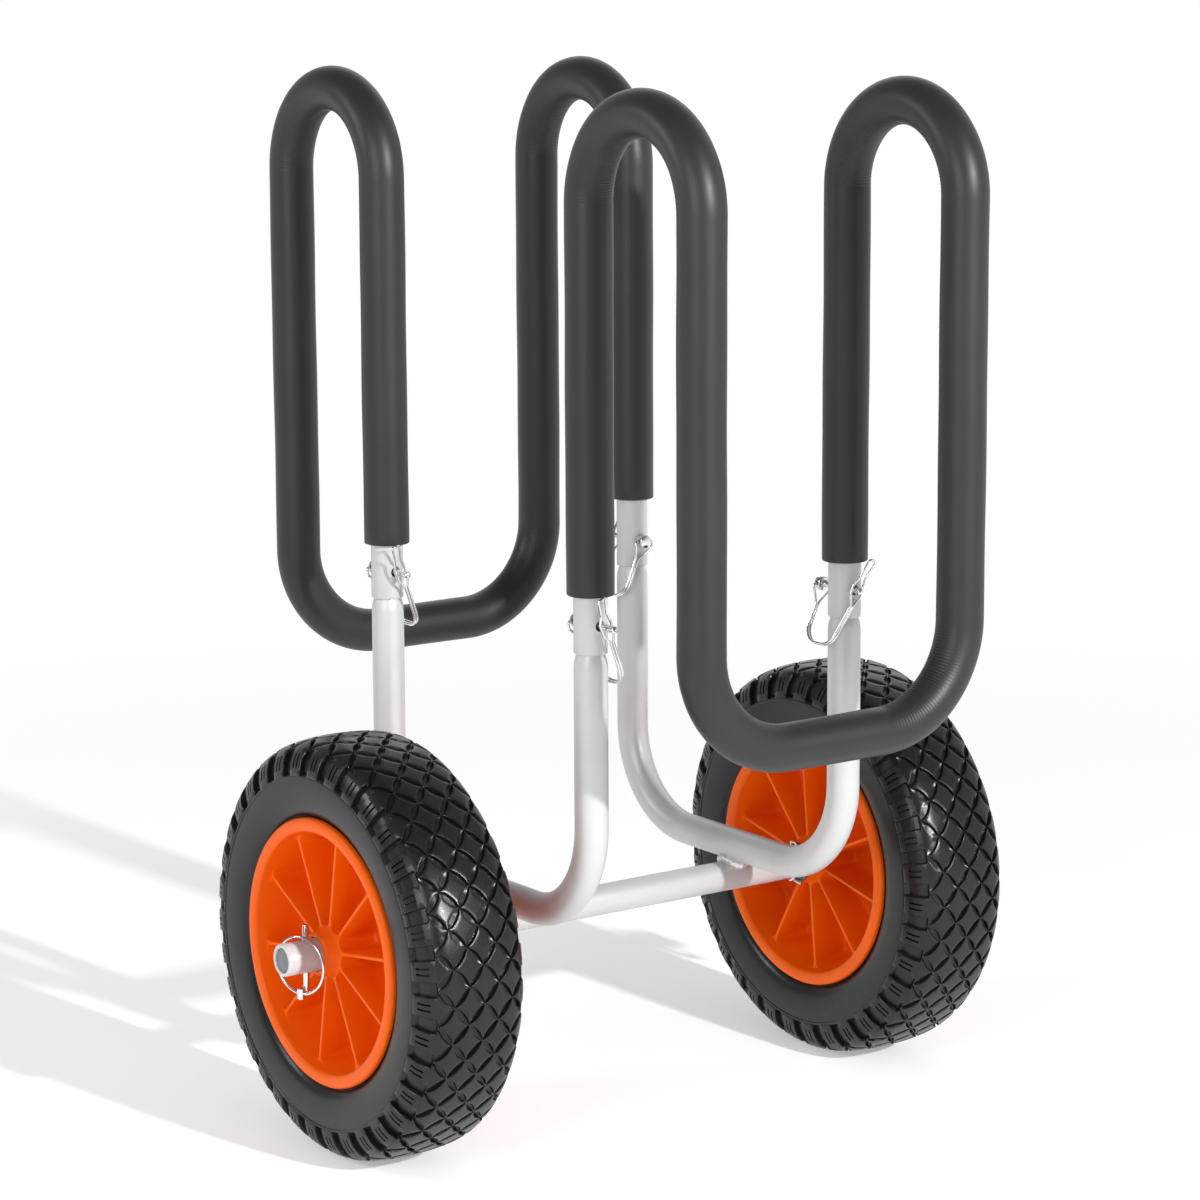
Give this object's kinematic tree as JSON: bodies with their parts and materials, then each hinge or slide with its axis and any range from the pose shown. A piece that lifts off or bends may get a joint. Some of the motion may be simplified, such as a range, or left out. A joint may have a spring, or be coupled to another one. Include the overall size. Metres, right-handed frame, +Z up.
{
  "type": "kayak cart",
  "caption": "Two-wheeled trolley with upright padded cradle loops that carries a kayak or board by its hull.",
  "frame": {"origin": "on the ground, under the middle of the axle", "axes": "+X along the axle to the right, -Y to the front, +Z up"},
  "size_m": [0.4812, 0.4594, 0.638],
  "materials": {
    "satin_aluminium": "satin, bead-blasted",
    "foam": "matte closed-cell foam",
    "rim_plastic": "moulded, semi-gloss",
    "tyre_rubber": "moulded, semi-gloss",
    "nylon": "smooth, slightly translucent",
    "bright_steel": "zinc plated, bright",
    "dark_steel": "dull plated"
  },
  "bodies": {
    "frame": {"axle_tube": "satin_aluminium", "left_axle_stub": "satin_aluminium", "right_axle_stub": "satin_aluminium", "left_wheel_sleeve": "nylon", "right_wheel_sleeve": "nylon", "left_post_frame": "satin_aluminium", "right_post_frame": "satin_aluminium", "left_frame_weld": "satin_aluminium", "right_frame_weld": "satin_aluminium", "front_loop_tube": "satin_aluminium", "rear_loop_tube": "satin_aluminium", "front_loop_pad": "foam", "rear_loop_pad": "foam", "left_hub_washer": "dark_steel", "right_hub_washer": "dark_steel", "left_cotter_pin": "bright_steel", "right_cotter_pin": "bright_steel"},
    "left_wheel": {"left_rim": "rim_plastic", "left_tyre": "tyre_rubber"},
    "right_wheel": {"right_rim": "rim_plastic", "right_tyre": "tyre_rubber"},
    "front_left_pin": {"lock_pin_front_left": "bright_steel"},
    "front_left_wire": {"lock_wire_front_left": "bright_steel"},
    "front_right_pin": {"lock_pin_front_right": "bright_steel"},
    "front_right_wire": {"lock_wire_front_right": "bright_steel"},
    "rear_left_pin": {"lock_pin_rear_left": "bright_steel"},
    "rear_left_wire": {"lock_wire_rear_left": "bright_steel"},
    "rear_right_pin": {"lock_pin_rear_right": "bright_steel"},
    "rear_right_wire": {"lock_wire_rear_right": "bright_steel"},
    "left_retainer": {"left_linch_pin": "bright_steel"},
    "left_retainer_ring": {"left_linch_ring": "bright_steel"},
    "right_retainer": {"right_linch_pin": "bright_steel"},
    "right_retainer_ring": {"right_linch_ring": "bright_steel"}
  },
  "joints": [
    {"name": "left_wheel_spin", "type": "hinge", "parent": "frame", "child": "left_wheel", "pos_m": [-0.182, 0, 0.127], "axis": [1, 0, 0], "continuous": true},
    {"name": "right_wheel_spin", "type": "hinge", "parent": "frame", "child": "right_wheel", "pos_m": [0.182, 0, 0.127], "axis": [1, 0, 0], "continuous": true},
    {"name": "front_left_pin_pull", "type": "slide", "parent": "frame", "child": "front_left_pin", "axis": [0, 1, 0], "range_m": [0, 0.04]},
    {"name": "front_left_wire_swing", "type": "hinge", "parent": "front_left_pin", "child": "front_left_wire", "pos_m": [-0.0942, -0.09625, 0.3287], "axis": [1, 0, 0], "range_deg": [0, 100], "deforming": ["lock_wire_front_left"]},
    {"name": "front_right_pin_pull", "type": "slide", "parent": "frame", "child": "front_right_pin", "axis": [0, 1, 0], "range_m": [0, 0.0315]},
    {"name": "front_right_wire_swing", "type": "hinge", "parent": "front_right_pin", "child": "front_right_wire", "pos_m": [0.0942, -0.08775, 0.3287], "axis": [1, 0, 0], "range_deg": [0, 100], "deforming": ["lock_wire_front_right"]},
    {"name": "rear_left_pin_pull", "type": "slide", "parent": "frame", "child": "rear_left_pin", "axis": [0, 1, 0], "range_m": [0, 0.04]},
    {"name": "rear_left_wire_swing", "type": "hinge", "parent": "rear_left_pin", "child": "rear_left_wire", "pos_m": [-0.0942, 0.12235, 0.3287], "axis": [1, 0, 0], "range_deg": [0, 100], "deforming": ["lock_wire_rear_left"]},
    {"name": "rear_right_pin_pull", "type": "slide", "parent": "frame", "child": "rear_right_pin", "axis": [0, -1, 0], "range_m": [0, 0.04]},
    {"name": "rear_right_wire_swing", "type": "hinge", "parent": "rear_right_pin", "child": "rear_right_wire", "pos_m": [0.0942, 0.09625, 0.3287], "axis": [-1, 0, 0], "range_deg": [0, 100], "deforming": ["lock_wire_rear_right"]},
    {"name": "left_linch_pin_pull", "type": "slide", "parent": "frame", "child": "left_retainer", "axis": [0, 0, -1], "range_m": [0, 0.032]},
    {"name": "left_linch_ring_swing", "type": "hinge", "parent": "left_retainer", "child": "left_retainer_ring", "pos_m": [-0.2275, 0, 0.1047], "axis": [0.342, -0.9397, 0], "range_deg": [0, 110], "deforming": ["left_linch_ring"]},
    {"name": "right_linch_pin_pull", "type": "slide", "parent": "frame", "child": "right_retainer", "axis": [0, 0, -1], "range_m": [0, 0.032]},
    {"name": "right_linch_ring_swing", "type": "hinge", "parent": "right_retainer", "child": "right_retainer_ring", "pos_m": [0.2275, 0, 0.1047], "axis": [0.342, 0.9397, 0], "range_deg": [0, 110], "deforming": ["right_linch_ring"]}
  ],
  "couplings": [
    {"joint": "front_left_wire_swing", "follows": "front_left_pin_pull", "rad_per_m": 43.5},
    {"joint": "front_right_wire_swing", "follows": "front_right_pin_pull", "rad_per_m": 55.2},
    {"joint": "rear_left_wire_swing", "follows": "rear_left_pin_pull", "rad_per_m": 43.5},
    {"joint": "rear_right_wire_swing", "follows": "rear_right_pin_pull", "rad_per_m": 43.5},
    {"joint": "left_linch_ring_swing", "follows": "left_linch_pin_pull", "rad_per_m": 59.5},
    {"joint": "right_linch_ring_swing", "follows": "right_linch_pin_pull", "rad_per_m": 59.5}
  ]
}
